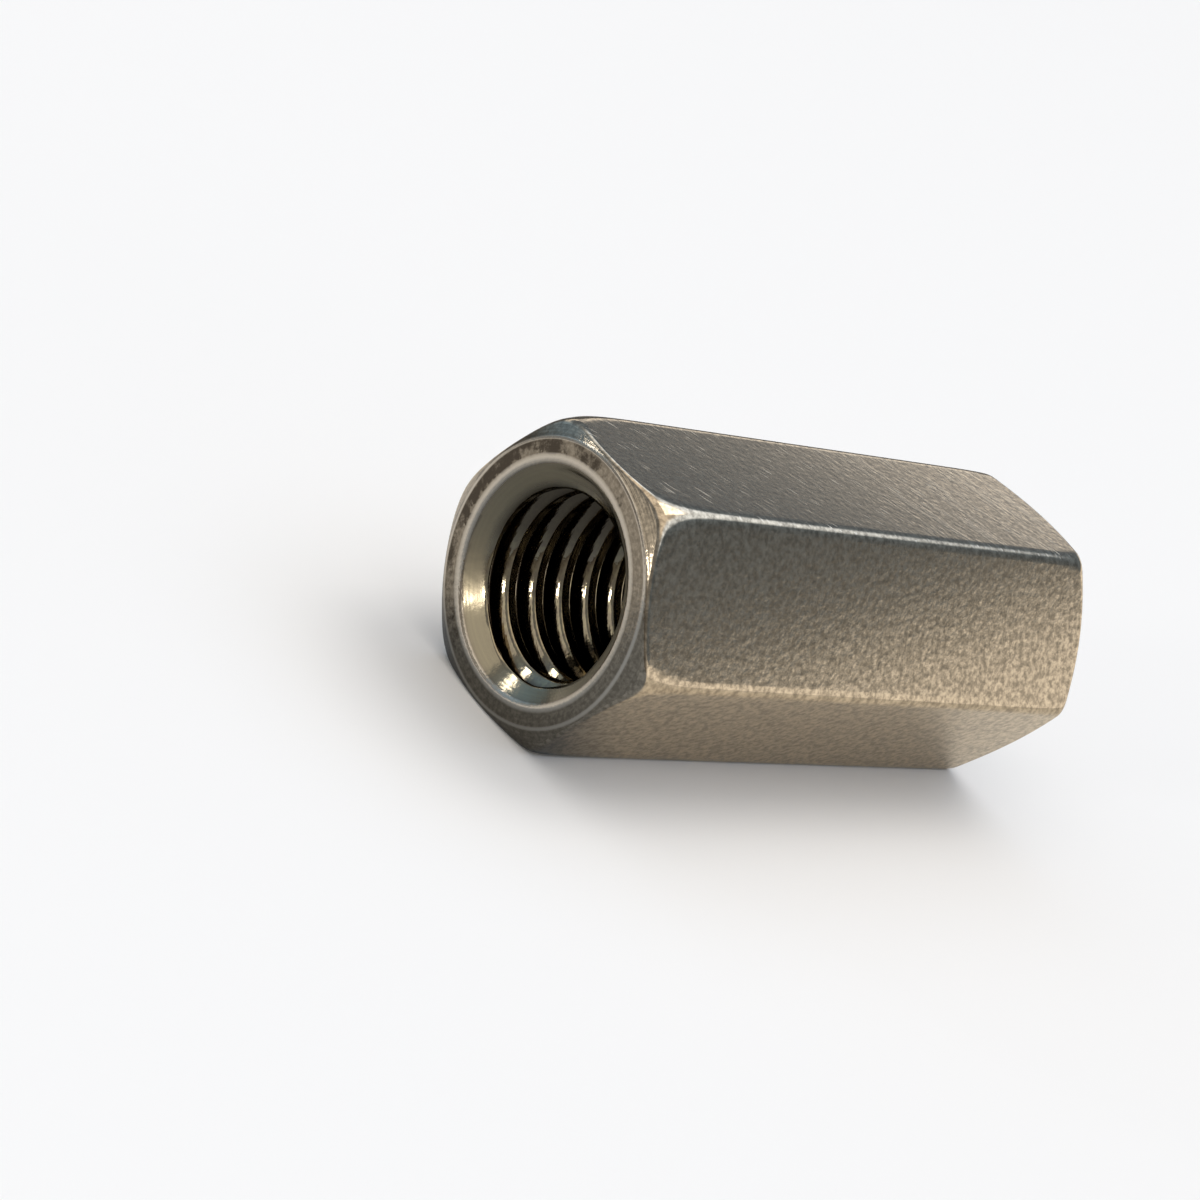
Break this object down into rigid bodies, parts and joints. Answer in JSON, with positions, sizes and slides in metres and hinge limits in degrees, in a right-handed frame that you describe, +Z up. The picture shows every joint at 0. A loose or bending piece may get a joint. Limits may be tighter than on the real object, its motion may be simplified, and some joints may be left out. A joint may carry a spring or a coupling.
{
  "type": "coupling nut",
  "caption": "Long hexagon coupling nut, threaded right through, with chamfered and countersunk ends, for joining two threaded rods end to end.",
  "frame": {"origin": "middle of the flat that the nut lies on", "axes": "+X along the axis of the thread, +Z up from the flat that it lies on, +Y across the nut towards a ridge"},
  "size_m": [0.0286, 0.0142, 0.0125],
  "materials": {
    "stainless_steel": "tumbled, satin, slightly mottled"
  },
  "bodies": {
    "root": {"coupling_nut": "stainless_steel"}
  },
  "joints": []
}
